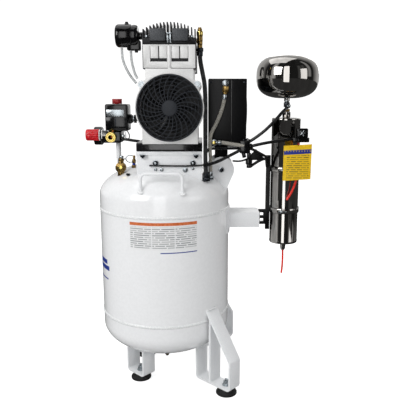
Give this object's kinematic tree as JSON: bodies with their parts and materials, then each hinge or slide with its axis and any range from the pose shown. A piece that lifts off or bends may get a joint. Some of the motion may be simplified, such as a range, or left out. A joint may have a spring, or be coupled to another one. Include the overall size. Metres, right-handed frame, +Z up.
{
  "type": "vertical tank air compressor",
  "caption": "Upright tank air compressor with an oil-free twin pump, pressure switch and regulator, cooler box, and a side-hung dryer canister with purge bulb.",
  "frame": {"origin": "centre of the machine's footprint box at floor level", "axes": "+Z up, +Y away from the front, +X to the right, towards the dryer"},
  "size_m": [0.602, 0.3702, 0.9199],
  "materials": {
    "tank_enamel": "gloss white enamel",
    "white_powder_coat": "satin white powder coat",
    "cast_aluminium": "as cast, light grey",
    "dark_casting": "black anodised casting",
    "lamination_steel": "varnished laminations",
    "bright_steel": "zinc plated",
    "polished_stainless": "polished",
    "steel_braid": "woven stainless wire",
    "brass": "machined",
    "black_plastic": "gloss black moulding",
    "black_steel": "satin black powder coat",
    "black_rubber": "matt moulded rubber",
    "black_tube": "smooth nylon tube",
    "knob_red": "gloss red moulding",
    "switch_red": "dark red moulding",
    "tube_red": "smooth red polyurethane tube",
    "clear_tube": "translucent nylon tube",
    "tag_card": "laminated yellow card"
  },
  "bodies": {
    "machine": {"tank_upper_head": "tank_enamel", "tank_barrel": "tank_enamel", "tank_lower_head": "tank_enamel", "front_left_foot": "white_powder_coat", "rear_left_foot": "white_powder_coat", "front_right_leg": "white_powder_coat", "rear_right_leg": "white_powder_coat", "rubber_pad_front_left": "black_rubber", "rubber_pad_rear_left": "black_rubber", "rubber_pad_front_right": "black_rubber", "rubber_pad_rear_right": "black_rubber", "carry_handle": "white_powder_coat", "front_lug": "white_powder_coat", "rear_lug": "white_powder_coat", "pump_platform": "white_powder_coat", "isolator_rail": "black_steel", "crankcase_front": "cast_aluminium", "crankcase_rear": "cast_aluminium", "stator": "lamination_steel", "cylinder_front": "cast_aluminium", "cylinder_rear": "cast_aluminium", "head_front": "dark_casting", "head_rear": "dark_casting", "fan_guard_front": "black_plastic", "fan_guard_rear": "black_plastic", "air_filter": "black_plastic", "discharge_elbow": "brass", "discharge_hose": "black_rubber", "pressure_switch": "black_plastic", "manifold": "black_plastic", "support_pipe": "white_powder_coat", "gauge_case": "black_plastic", "outlet_coupler": "brass", "safety_valve": "brass", "cooler_box": "black_steel", "cooler_hose_upper": "steel_braid", "cooler_hose_lower": "steel_braid", "dryer_arm": "white_powder_coat", "dryer_clamp": "black_steel", "dryer_canister": "polished_stainless", "purge_bulb": "polished_stainless", "valve_block": "black_plastic", "drain_tube": "tube_red", "purge_tube": "tube_red", "dryer_top_tube": "black_tube", "dryer_inlet_tube": "black_tube", "breather_tube_left": "clear_tube", "breather_tube_right": "clear_tube"},
    "rotor": {"rotor_shaft": "bright_steel", "fan_front": "black_plastic", "fan_rear": "black_plastic"},
    "front_piston": {"piston_front": "cast_aluminium"},
    "rear_piston": {"piston_rear": "cast_aluminium"},
    "switch_button": {"switch_knob": "switch_red"},
    "regulator_screw": {"regulator_spindle": "bright_steel"},
    "regulator_cap": {"regulator_knob": "knob_red"},
    "outlet_sleeve": {"coupler_sleeve": "brass"},
    "relief_pull": {"safety_ring": "bright_steel"},
    "hang_tag": {"tag": "tag_card"},
    "drain": {"drain_plug": "brass"}
  },
  "joints": [
    {"name": "motor_spin", "type": "hinge", "parent": "machine", "child": "rotor", "pos_m": [-0.075, 0, 0.7246], "axis": [0, 1, 0], "continuous": true},
    {"name": "front_stroke", "type": "slide", "parent": "machine", "child": "front_piston", "axis": [0, 0, 1], "range_m": [-0.016, 0]},
    {"name": "rear_stroke", "type": "slide", "parent": "machine", "child": "rear_piston", "axis": [0, 0, 1], "range_m": [0, 0.016]},
    {"name": "switch_lift", "type": "slide", "parent": "machine", "child": "switch_button", "axis": [0, 0, 1], "range_m": [0, 0.006]},
    {"name": "regulator_turn", "type": "hinge", "parent": "machine", "child": "regulator_screw", "pos_m": [-0.27, -0.01, 0.654], "axis": [1, 0, 0], "range_deg": [-720, 720]},
    {"name": "regulator_unlock", "type": "slide", "parent": "regulator_screw", "child": "regulator_cap", "axis": [-1, 0, 0], "range_m": [0, 0.004]},
    {"name": "sleeve_release", "type": "slide", "parent": "machine", "child": "outlet_sleeve", "axis": [0, 1, 0], "range_m": [0, 0.004], "stiffness_N_per_m": 800},
    {"name": "relief_lift", "type": "slide", "parent": "machine", "child": "relief_pull", "axis": [1, 0, 0], "range_m": [0, 0.003], "stiffness_N_per_m": 1500},
    {"name": "tag_swing", "type": "hinge", "parent": "machine", "child": "hang_tag", "pos_m": [0.243, -0.0655, 0.636], "axis": [1, 0, 0], "range_deg": [-50, 0]},
    {"name": "drain_turn", "type": "hinge", "parent": "machine", "child": "drain", "pos_m": [-0.1, 0, 0.05], "axis": [0, 0, 1], "range_deg": [0, 720]}
  ]
}
